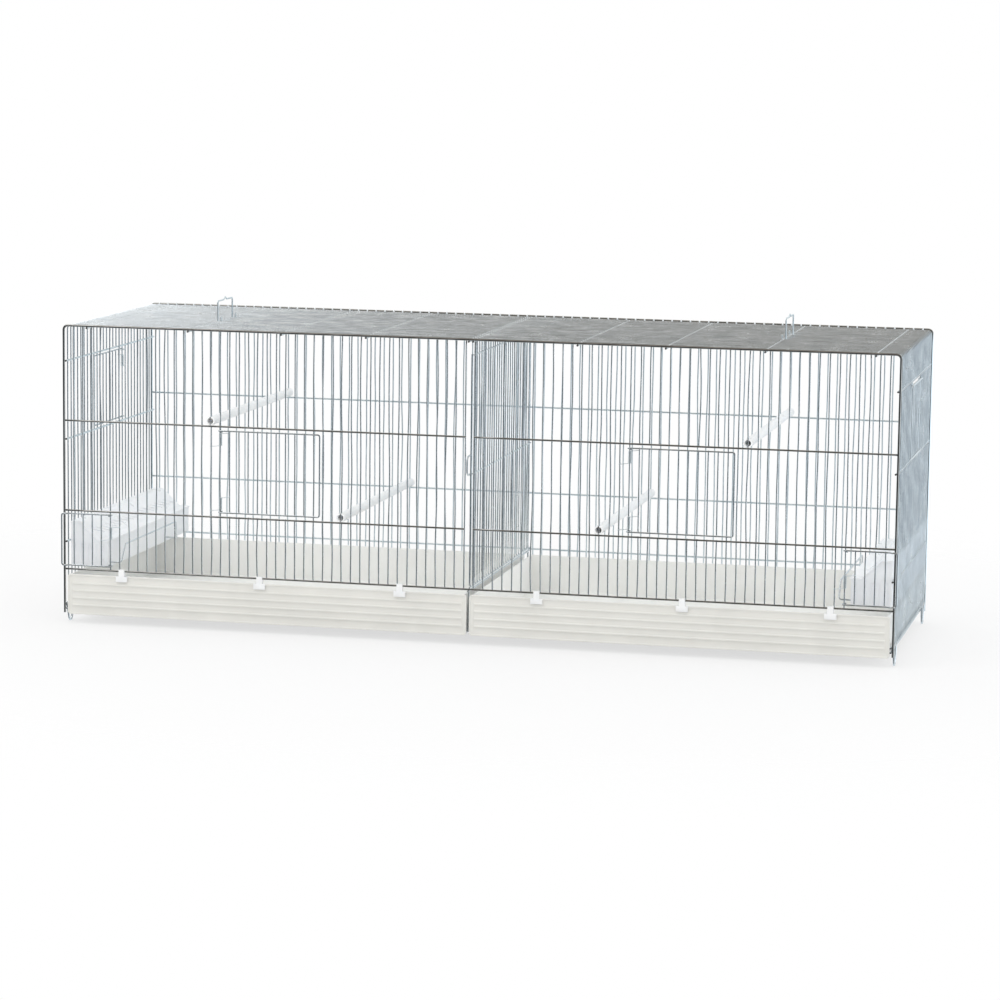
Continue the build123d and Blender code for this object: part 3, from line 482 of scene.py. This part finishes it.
# Hoops: each wire climbs one side, crosses the roof and comes down the other side
hoopShape = {"radius": 1 * mm, "turnSteps": 8, "rowReach": 1 * mm}
hoopBend = frameShape["bend"] - frameWires["front_frame"]["radius"] + hoopShape["radius"]
hoopTurn = [math.radians(90 * k / hoopShape["turnSteps"]) for k in range(1, hoopShape["turnSteps"])]
roofCross = [s.x for s, e, r in straightWires("roof_cross_wires") + straightWires("divider_guides")]
sideCross = sorted({round(s.z, 5) for node in ("left_side_cross_wires", "left_tray_runner")
                    for s, e, r in straightWires(node)})
sideBoxes = {side: solidBoxes(f"{side}_side_wires") for side in ("left", "right")}
sideHinge = round(joints["left_side_door_hinge"]["pos_m"][1], 4)
hoopStock = MeshStock()
for start, end, radius in straightWires("roof_wires"):
    row, top = start.y, start.z
    lengths = {}
    for side, boxes in sideBoxes.items():
        mine = [b for b in boxes if abs((b[0].y + b[1].y) / 2 - row) < hoopShape["rowReach"]]
        lengths[side] = sorted(mine, key=lambda b: b[0].z)
    leftX, rightX = lengths["left"][-1][0].x + radius, lengths["right"][-1][1].x - radius
    amount = 0.0 if round(row, 4) == sideHinge else wander["hoop"]
    climbs = {}
    for side, x, sign in (("left", leftX, 1), ("right", rightX, -1)):
        low, high = lengths[side][-1]
        climb = wavyPath(Vector((x, row, low.z)), Vector((x, row, high.z)), [z - low.z for z in sideCross],
                         ey, ex, amount, wander["hoopDepth"])
        turn = [Vector((x + sign * hoopBend * (1 - math.cos(a)), row,
                        top - hoopBend + hoopBend * math.sin(a))) for a in hoopTurn]
        climbs[side] = climb + turn
        if len(lengths[side]) > 1:  # the lower end of a wire that the side door's opening cuts
            low, high = lengths[side][0]
            stub = wavyPath(Vector((x, row, low.z)), Vector((x, row, high.z)), [z - low.z for z in sideCross],
                            ey, ex, wander["hoop"], wander["hoopDepth"])
            hoopStock.tube(stub, radius)
    roof = wavyPath(Vector((leftX + hoopBend, row, top)), Vector((rightX - hoopBend, row, top)),
                    [x - leftX - hoopBend for x in roofCross], ey, ez, wander["hoop"], wander["hoopDepth"])
    hoopStock.tube(climbs["left"] + roof + climbs["right"][::-1], radius)
    for x in roofCross:
        beads["roof"].bead(Vector((x, row, top)), pinchSize, ex)
    for side, x in (("left", leftX), ("right", rightX)):
        for z in sideCross:
            if any(low.z - weldReach < z < high.z + weldReach for low, high in lengths[side]):
                beads["sides"].bead(Vector((x, row, z)), pinchSize, ez)
hoopStock.piece("hoop_wires_bent", "zinc_wire", "cage",
                ["roof_wires", "roof_bends", "left_side_wires", "right_side_wires"])
for face, look in weldLooks.items():
    beads[face].piece(f"{face}_welds", "zinc_wire", "cage", [], look)
print("hoops and welds drawn")

# Feet: bent loops with a small flat under each
footShape = {"bend": 6 * mm, "lean": 22, "flat": 0.4 * mm, "arcSteps": 14, "step": 6 * mm, "sides": 16}
lean = math.radians(footShape["lean"])
footArc = [math.radians(180 + footShape["lean"] + k * (180 - 2 * footShape["lean"]) / footShape["arcSteps"])
           for k in range(footShape["arcSteps"] + 1)]
for node in ("front_left_foot", "front_right_foot", "back_left_foot", "back_right_foot"):
    low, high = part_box(node)
    radius = (high.x - low.x) / 2
    x, y = (low.x + high.x) / 2, (low.y + high.y) / 2
    bend = footShape["bend"]
    axisZ = radius - footShape["flat"] + bend
    topZ = high.z - radius * math.sin(lean)
    touchY, touchZ = bend * math.cos(lean), axisZ - bend * math.sin(lean)
    topY = touchY + (topZ - touchZ) * math.tan(lean)
    path = [Vector((x, y - topY, topZ))]
    path += [Vector((x, y + bend * math.cos(a), axisZ + bend * math.sin(a))) for a in footArc]
    path.append(Vector((x, y + topY, topZ)))
    stock = MeshStock()
    stock.tube(dividedPath(path, footShape["step"]), radius, footShape["sides"])
    stock.points = [Vector((p.x, p.y, max(p.z, 0.0))) for p in stock.points]
    stock.piece(f"{node}_bent", "zinc_wire", "cage", [node])
print("feet bent")

# Doors: bent frame wire that ends in an eye round the hinge wire, with bars welded behind it
doorWire = {
    "frame": 1.1 * mm, "bar": 1.0 * mm, "out": 2.4 * mm, "sink": 0.2 * mm, "barEnd": 0.55 * mm,
    "corner": 3 * mm, "jogCorner": 2.5 * mm, "cornerSteps": 6, "step": 10 * mm, "start": 1.5 * mm,
    "eye": 2.18 * mm, "eyeTurn": 300, "eyePitch": 2.3 * mm, "eyeSteps": 24,
    "weld": (1.5 * mm, 0.9 * mm), "weldIn": 4 * mm,
}
feederJog = (9.5 * mm, 4.0 * mm)  # how far before the corner post the step forward starts and ends
doors = {
    "left_main_door": {"along": ex, "out": -ey, "bars": 9},
    "right_main_door": {"along": ex, "out": -ey, "bars": 9},
    "left_feeder_door": {"along": -ex, "out": -ey, "bars": 4, "jog": feederJog},
    "right_feeder_door": {"along": ex, "out": -ey, "bars": 4, "jog": feederJog},
    "left_side_door": {"along": -ey, "out": -ex, "bars": 7},
    "right_side_door": {"along": -ey, "out": ex, "bars": 7},
}


def doorPoint(hinge, u, v, z):  # u along the door and v outward, from the hinge wire
    pivot, along, out = hinge
    return Vector((pivot.x, pivot.y, z)) + along * u + out * v


def eyePath(hinge, z, fall):
    path = []
    for k in range(doorWire["eyeSteps"] + 1):
        turn = math.radians(doorWire["eyeTurn"]) * k / doorWire["eyeSteps"]
        drop = doorWire["eyePitch"] * k / doorWire["eyeSteps"] * doorWire["eyeTurn"] / 360
        path.append(doorPoint(hinge, -doorWire["eye"] * math.sin(turn), doorWire["eye"] * math.cos(turn),
                              z + fall * drop))
    return path


for node, door in doors.items():
    pivot = Vector(joints[f"{node}_hinge"]["pos_m"])
    along, out = door["along"], door["out"]
    hinge = (pivot, along, out)
    low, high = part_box(node)
    bottom, top = low.z + doorWire["frame"], high.z - doorWire["frame"]
    reach = max((low - pivot).dot(along), (high - pivot).dot(along)) - doorWire["frame"]
    farOut = max((low - pivot).dot(out), (high - pivot).dot(out)) - doorWire["frame"]
    turns = [(reach, doorWire["out"])]
    bends = [doorWire["corner"]]
    if "jog" in door:  # steps forward round the corner post
        postU = (door["bars"] + 1) * pitch
        turns = [(postU - door["jog"][0], doorWire["out"]), (postU - door["jog"][1], farOut), (reach, farOut)]
        bends = [doorWire["jogCorner"]] * 2 + bends
    turns = [(doorWire["start"], doorWire["out"])] + turns
    corners = [doorPoint(hinge, u, v, top) for u, v in turns]
    corners += [doorPoint(hinge, u, v, bottom) for u, v in reversed(turns)]
    path = dividedPath(roundedPath(corners, bends + bends[::-1], doorWire["cornerSteps"]), doorWire["step"])
    path = eyePath(hinge, top, -1)[::-1] + path + eyePath(hinge, bottom, 1)
    stock = MeshStock()
    stock.tube(path, doorWire["frame"])
    barV = doorWire["out"] - doorWire["frame"] - doorWire["bar"] + doorWire["sink"]
    for i in range(1, door["bars"] + 1):
        start = doorPoint(hinge, i * pitch, barV, bottom - doorWire["barEnd"])
        end = doorPoint(hinge, i * pitch, barV, top + doorWire["barEnd"])
        welds = [doorWire["weldIn"], (end - start).length - doorWire["weldIn"]]
        stock.tube(wavyPath(start, end, welds, along, out, wander["doorBar"]), doorWire["bar"])
        for z in (bottom, top):
            stock.bead(doorPoint(hinge, i * pitch, barV + doorWire["bar"], z), doorWire["weld"], ez)
    stock.piece(f"{node}_welded", "zinc_wire", node, [node])
print("doors welded")

# Door springs: wound round the hinge wire, one leg on the cage and one on the door
springShape = {
    "radius": 2.0 * mm, "wire": 0.4 * mm, "pitch": 1.4 * mm, "turns": 12, "turnSteps": 24,
    "leg": 15.0 * mm, "legSteps": 10, "sides": 8,
}
springs = {  # its door, the turn of its legs in degrees, and what the lower leg lies on
    "left_main_upper_spring": ("left_main_door", 0, "cage"),
    "left_main_lower_spring": ("left_main_door", 0, "cage"),
    "right_main_upper_spring": ("right_main_door", 0, "cage"),
    "right_main_lower_spring": ("right_main_door", 0, "cage"),
    "left_feeder_spring": ("left_feeder_door", 0, "door"),
    "right_feeder_spring": ("right_feeder_door", 0, "cage"),
    "left_side_spring": ("left_side_door", -90, "cage"),
    "right_side_spring": ("right_side_door", 90, "door"),
}
for node, (door, turn, lowerOn) in springs.items():
    pivot = Vector(joints[f"{door}_hinge"]["pos_m"])
    low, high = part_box(node)
    radius, rise = springShape["radius"], springShape["pitch"] / (2 * math.pi)
    slope = math.atan2(rise, radius)
    start = low.z + springShape["leg"] * math.sin(slope) + springShape["wire"] * math.cos(slope)
    spin = Matrix.Rotation(math.radians(turn), 3, "Z")
    coil = []
    for k in range(springShape["turns"] * springShape["turnSteps"] + 1):
        swept = 360 / springShape["turnSteps"] * k
        angle = math.radians(-90 + swept)
        climbed = start + rise * math.radians(swept)
        coil.append(Vector((radius * math.cos(angle), radius * math.sin(angle), climbed)))
    leg = Vector((math.cos(slope), 0, math.sin(slope))) * springShape["leg"]
    steps = springShape["legSteps"]
    lead = [coil[0] - leg * (1 - k / steps) for k in range(steps)]
    away = [coil[-1] + leg * (k + 1) / steps for k in range(steps)]
    path = [spin @ Vector((p.x, p.y, 0)) + Vector((pivot.x, pivot.y, p.z)) for p in lead + coil + away]
    stock = MeshStock()
    stock.tube(path, springShape["wire"], springShape["sides"])
    piece = stock.piece(f"{node}_wound", "spring_steel", None, [node])
    lower, upper = ("cage", door) if lowerOn == "cage" else (door, "cage")
    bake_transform(piece)
print("springs wound")

# Divider: wire panel with handled, uneven bars, and its pull
dividerShape = {
    "step": 20 * mm, "sides": 14, "weld": (1.4 * mm, 1.0 * mm), "weldSink": 0.9, "weldReach": 1 * mm,
}
dividerBars = straightWires("divider")
dividerCross = straightWires("divider_cross_wires")
crossHeights = [start.z for start, end, radius in dividerCross]
barRadius = min(radius for start, end, radius in dividerBars)
stock = MeshStock()
for start, end, radius in dividerCross:
    stock.tube(dividedPath([start, end], dividerShape["step"]), radius)
for start, end, radius in dividerBars:
    amount = wander["dividerBar"] if radius == barRadius else wander["dividerEdge"]
    path = wavyPath(start, end, [z - start.z for z in crossHeights], ey, ex, amount)
    stock.tube(path, radius, dividerShape["sides"])
    for z in crossHeights:
        if start.z - dividerShape["weldReach"] < z < end.z:
            spot = Vector((start.x + radius * dividerShape["weldSink"], start.y, z))
            stock.bead(spot, dividerShape["weld"], ey)
stock.piece("divider_welded", "zinc_wire", "divider", ["divider", "divider_cross_wires"])

pullShape = {"radius": 1.2 * mm, "bend": 7 * mm, "bendSteps": 12, "sides": 14}
low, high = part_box("divider_pull")
pullX = (low.x + high.x) / 2
near, far = low.y + pullShape["radius"], high.y
upper, lower = high.z - pullShape["radius"], low.z + pullShape["radius"]
corners = [Vector((pullX, y, z)) for y, z in ((far, upper), (near, upper), (near, lower), (far, lower))]
path = roundedPath(corners, [pullShape["bend"]] * 2, pullShape["bendSteps"])
stock = MeshStock()
stock.tube(path, pullShape["radius"], pullShape["sides"])
stock.piece("divider_pull_bent", "zinc_wire", "divider", ["divider_pull"])
print("divider made:", len(dividerBars), "bars")

# Feeder perch wires and roof handles
feederPerch = {"radius": 1.2 * mm, "rise": 17 * mm, "bend": 4 * mm, "step": 15 * mm, "sides": 14}
for side, sign in (("left", -1), ("right", 1)):
    node = f"{side}_feeder_perch"
    low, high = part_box(node)
    radius = feederPerch["radius"]
    root = low.x if sign < 0 else high.x
    bar = high.x - radius if sign < 0 else low.x + radius
    front, back, under, over = low.y + radius, high.y - radius, low.z + radius, high.z - radius
    corners = [Vector(c) for c in (
        (root, front, under), (bar, front, under), (bar, front + feederPerch["rise"], over),
        (bar, back, over), (bar, back, under), (root, back, under))]
    path = dividedPath(roundedPath(corners, [feederPerch["bend"]] * 4), feederPerch["step"])
    stock = MeshStock()
    stock.tube(path, radius, feederPerch["sides"])
    stock.piece(f"{node}_bent", "zinc_wire", "cage", [node])

handleShape = {
    "radius": 1.1 * mm, "height": 31 * mm, "bend": 3.5 * mm, "step": 10 * mm, "sides": 14,
    "hook": 2.48 * mm, "hookSteps": 20, "tail": 8.5 * mm,
    "kinkWide": 7 * mm, "kinkHigh": 3.7 * mm, "kinkBend": 4 * mm,
}
hookTurn = [math.pi * k / handleShape["hookSteps"] for k in range(1, handleShape["hookSteps"] + 1)]
for side, sign in (("left", -1), ("right", 1)):
    node = f"{side}_handle"
    pivot = Vector(joints[f"{node}_hinge"]["pos_m"])
    low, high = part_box(node)
    hook = handleShape["hook"]
    legX = pivot.x + sign * hook
    front, back = low.y + handleShape["radius"], high.y - handleShape["radius"]
    barZ, middle = pivot.z + handleShape["height"], (front + back) / 2
    kinkFront, kinkBack = middle - handleShape["kinkWide"], middle + handleShape["kinkWide"]
    corners = [Vector((legX, y, z)) for y, z in (
        (front, pivot.z), (front, barZ), (kinkFront, barZ), (middle, barZ + handleShape["kinkHigh"]),
        (kinkBack, barZ), (back, barZ), (back, pivot.z))]
    bends = [handleShape["bend"], *[handleShape["kinkBend"]] * 3, handleShape["bend"]]
    hooks = []
    for y in (front, back):
        turn = [Vector((pivot.x + sign * hook * math.cos(a), y, pivot.z - hook * math.sin(a)))
                for a in hookTurn]
        hooks.append(turn + [turn[-1] + ez * handleShape["tail"]])
    path = dividedPath(hooks[0][::-1] + roundedPath(corners, bends) + hooks[1], handleShape["step"])
    stock = MeshStock()
    stock.tube(path, handleShape["radius"], handleShape["sides"])
    stock.piece(f"{node}_bent", "zinc_wire", node, [node], "paleSheenZinc")
print("perch wires and handles bent")

# Moulded pieces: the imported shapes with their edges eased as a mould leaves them
# flat, edge and sharp are degrees between faces
mould = {"merge": 2e-6, "flat": 0.5, "edge": 35, "segments": 2, "profile": 0.6, "sharp": 30}
eased = {
    "left_tray": 0.7 * mm, "right_tray": 0.7 * mm, "left_feeder": 0.6 * mm, "right_feeder": 0.6 * mm,
    "left_feeder_lid": 0.5 * mm, "right_feeder_lid": 0.5 * mm, "upper_left_perch": 0.35 * mm,
    "lower_left_perch": 0.35 * mm, "lower_right_perch": 0.35 * mm, "upper_right_perch": 0.35 * mm,
    **{f"{side}_tray_clip_{i}": 0.3 * mm for side in ("left", "right") for i in (1, 2, 3)},
}
for node, easing in eased.items():
    shape = bmesh.new()
    shape.from_mesh(nodes[node].data)
    bmesh.ops.remove_doubles(shape, verts=shape.verts, dist=mould["merge"])
    bmesh.ops.dissolve_limit(shape, angle_limit=math.radians(mould["flat"]),
                             verts=shape.verts, edges=shape.edges)
    least = math.radians(mould["edge"])
    edges = [e for e in shape.edges if len(e.link_faces) == 2 and e.calc_face_angle(0) > least]
    bmesh.ops.bevel(shape, geom=edges, offset=easing, segments=mould["segments"], profile=mould["profile"],
                    affect="EDGES", clamp_overlap=True)
    mesh = bpy.data.meshes.new(f"{node}_moulded")
    shape.to_mesh(mesh)
    shape.free()
    mesh.shade_smooth()
    mesh.set_sharp_from_angle(angle=math.radians(mould["sharp"]))
    obj = bpy.data.objects.new(f"{node}_moulded", mesh)
    bpy.context.scene.collection.objects.link(obj)
    mesh.materials.append(materials[slotOf[node]])
    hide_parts(node)
    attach(obj, bodyOf[node])
print("moulded pieces eased:", len(eased))

# Floor: white sheet that keeps the cage's shadow and runs out into the white studio
floorLook = {"half": (1.6, 1.2), "colour": "#e2e2e2", "near": 0.55, "far": 1.0, "shine": 0.66}
floorMesh = bpy.data.meshes.new("floor")
wide, deep = floorLook["half"]
floorCorners = [(-wide, -deep, 0), (wide, -deep, 0), (wide, deep, 0), (-wide, deep, 0)]
floorMesh.from_pydata(floorCorners, [], [(0, 1, 2, 3)])
floor = bpy.data.objects.new("floor", floorMesh)
bpy.context.scene.collection.objects.link(floor)
floorMaterial, tree, place = startMaterial("whitePaperSweep")
spread = addNode(tree, "ShaderNodeVectorMath", {"operation": "MULTIPLY", 1: (1 / wide, 1 / deep, 1)},
                 {0: place}).outputs["Vector"]
distance = addNode(tree, "ShaderNodeVectorMath", {"operation": "LENGTH"}, {0: spread}).outputs["Value"]
fade = addNode(tree, "ShaderNodeMapRange",
               {"interpolation_type": "SMOOTHSTEP",
                "From Min": floorLook["near"], "From Max": floorLook["far"]},
               {"Value": distance}).outputs["Result"]
paper = addNode(tree, "ShaderNodeBsdfDiffuse", {"Color": linear(floorLook["colour"])}).outputs["BSDF"]
glare = addNode(tree, "ShaderNodeEmission", {"Color": (1, 1, 1, 1)}).outputs["Emission"]
cameraRay = addNode(tree, "ShaderNodeLightPath").outputs["Is Camera Ray"]
toCamera = addNode(tree, "ShaderNodeMath", {"operation": "MULTIPLY", 1: floorLook["shine"]},
                   {0: cameraRay}).outputs["Value"]  # the glare is for the camera alone: a pale shadow
lit = addNode(tree, "ShaderNodeMixShader", links={"Fac": toCamera, 1: paper, 2: glare}).outputs["Shader"]
gone = addNode(tree, "ShaderNodeBsdfTransparent").outputs["BSDF"]
sheet = addNode(tree, "ShaderNodeMixShader", links={"Fac": fade, 1: lit, 2: gone}).outputs["Shader"]
addNode(tree, "ShaderNodeOutputMaterial", links={"Surface": sheet})
floorMesh.materials.append(floorMaterial)
floor.visible_glossy = False  # mirrors see the studio's own light and dark instead

# Camera: from the right of the middle, a little above the roof
cameraSet = {"place": (1.11575, -4.7737, 0.879), "yaw": -13.15, "pitch": 8.15, "roll": 0.74,
             "lens": 125.2, "sensor": 36.0}
yaw, pitchDown, roll = (math.radians(cameraSet[k]) for k in ("yaw", "pitch", "roll"))
ahead = Vector((math.sin(yaw) * math.cos(pitchDown), math.cos(yaw) * math.cos(pitchDown),
                -math.sin(pitchDown)))
level = Vector((math.cos(yaw), -math.sin(yaw), 0))
above = level.cross(ahead)
rightWay = level * math.cos(roll) + above * math.sin(roll)
upWay = above * math.cos(roll) - level * math.sin(roll)
cameraTurn = Matrix((rightWay, upWay, -ahead)).transposed().to_4x4()
cameraData = bpy.data.cameras.new("photoCamera")
cameraData.lens = cameraSet["lens"]
cameraData.sensor_width = cameraSet["sensor"]
camera = bpy.data.objects.new("photoCamera", cameraData)
camera.matrix_world = Matrix.Translation(cameraSet["place"]) @ cameraTurn
bpy.context.scene.collection.objects.link(camera)
bpy.context.scene.camera = camera

# Light: a white studio that lights evenly, a little more from above. Mirrors see its white backdrop,
# a ceiling that is lit at the left and, on the camera's side, a dim room
studio = {
    "level": 1.13, "above": 1.28, "aboveEdge": (0.2, 0.9),
    "paper": "#f0f7fb", "back": (0.30, 0.95, 0.0), "edge": (-0.60, -0.15),
    "warm": "#3f372f", "cool": "#464b51", "warmEdge": (-0.1, 0.2),
    "ceiling": "#d0cac2", "ceilingEdge": (0.40, 0.75), "glow": 1.75, "glowEdge": (-0.25, -0.34),
}
world = bpy.data.worlds.new("studio")
bpy.context.scene.world = world
world.use_nodes = True
tree = world.node_tree
tree.nodes.clear()
way = addNode(tree, "ShaderNodeTexCoord").outputs["Generated"]
facing = addNode(tree, "ShaderNodeVectorMath", {"operation": "DOT_PRODUCT", 1: studio["back"]},
                 {0: way}).outputs["Value"]
sides = addNode(tree, "ShaderNodeSeparateXYZ", links={0: way}).outputs
low, high = studio["edge"]
backdrop = addNode(tree, "ShaderNodeMapRange",
                   {"interpolation_type": "SMOOTHSTEP", "From Min": low, "From Max": high},
                   {"Value": facing}).outputs["Result"]
low, high = studio["glowEdge"]
leftward = addNode(tree, "ShaderNodeMapRange",
                   {"interpolation_type": "SMOOTHSTEP", "From Min": low, "From Max": high},
                   {"Value": sides["X"]}).outputs["Result"]
low, high = studio["warmEdge"]
raised = addNode(tree, "ShaderNodeMapRange", {"From Min": low, "From Max": high},
                 {"Value": sides["Z"]}).outputs["Result"]
low, high = studio["ceilingEdge"]
overhead = addNode(tree, "ShaderNodeMapRange",
                   {"interpolation_type": "SMOOTHSTEP", "From Min": low, "From Max": high},
                   {"Value": sides["Z"]}).outputs["Result"]
dimRoom = addNode(tree, "ShaderNodeMix",
                  {"data_type": "RGBA", 6: linear(studio["cool"]), 7: linear(studio["warm"])},
                  {0: raised}).outputs[2]
walls = addNode(tree, "ShaderNodeMix", {"data_type": "RGBA", 7: linear(studio["paper"])},
                {0: backdrop, 6: dimRoom}).outputs[2]
ceiling = addNode(tree, "ShaderNodeMix",
                  {"data_type": "RGBA", 6: linear(studio["ceiling"]), 7: (*[studio["glow"]] * 3, 1)},
                  {0: leftward}).outputs[2]
room = addNode(tree, "ShaderNodeMix", {"data_type": "RGBA"}, {0: overhead, 6: walls, 7: ceiling}).outputs[2]
roomShown = addNode(tree, "ShaderNodeBackground", links={"Color": room}).outputs["Background"]
low, high = studio["aboveEdge"]
brightness = addNode(tree, "ShaderNodeMapRange",
                     {"From Min": low, "From Max": high,
                      "To Min": studio["level"], "To Max": studio["above"]},
                     {"Value": sides["Z"]}).outputs["Result"]
levelLight = addNode(tree, "ShaderNodeBackground", {"Color": (1, 1, 1, 1)},
                     {"Strength": brightness}).outputs["Background"]
plain = addNode(tree, "ShaderNodeBackground", {"Color": (1, 1, 1, 1)}).outputs["Background"]
seen = addNode(tree, "ShaderNodeLightPath").outputs
mirrored = addNode(tree, "ShaderNodeMath", {"operation": "MAXIMUM"},
                   {0: seen["Is Glossy Ray"], 1: seen["Is Transmission Ray"]}).outputs["Value"]
around = addNode(tree, "ShaderNodeMixShader",
                 links={"Fac": mirrored, 1: levelLight, 2: roomShown}).outputs["Shader"]
surround = addNode(tree, "ShaderNodeMixShader",
                   links={"Fac": seen["Is Camera Ray"], 1: around, 2: plain}).outputs["Shader"]
addNode(tree, "ShaderNodeOutputWorld", links={"Surface": surround})
softBoxes = {
    "keySoftBox": {"size": (0.9, 0.9), "power": 6.0, "colour": "#ffffff",
                   "place": (-1.7, -1.7, 2.0), "aim": (-0.2, 0.0, 0.2)},
    "rightSoftBox": {"size": (1.3, 1.3), "power": 7.5, "colour": "#e2effb",
                     "place": (2.5, -0.1, 0.35), "aim": (0.0, 0.0, 0.25)},
}
for name, box in softBoxes.items():
    lampData = bpy.data.lights.new(name, "AREA")
    lampData.shape = "RECTANGLE"
    lampData.size, lampData.size_y = box["size"]
    lampData.energy = box["power"]
    lampData.color = linear(box["colour"])[:3]
    lamp = bpy.data.objects.new(name, lampData)
    lamp.location = box["place"]
    lamp.rotation_euler = (Vector(box["aim"]) - lamp.location).to_track_quat("-Z", "Y").to_euler()
    bpy.context.scene.collection.objects.link(lamp)
bpy.context.scene.view_settings.view_transform = "Standard"
print("stage set")
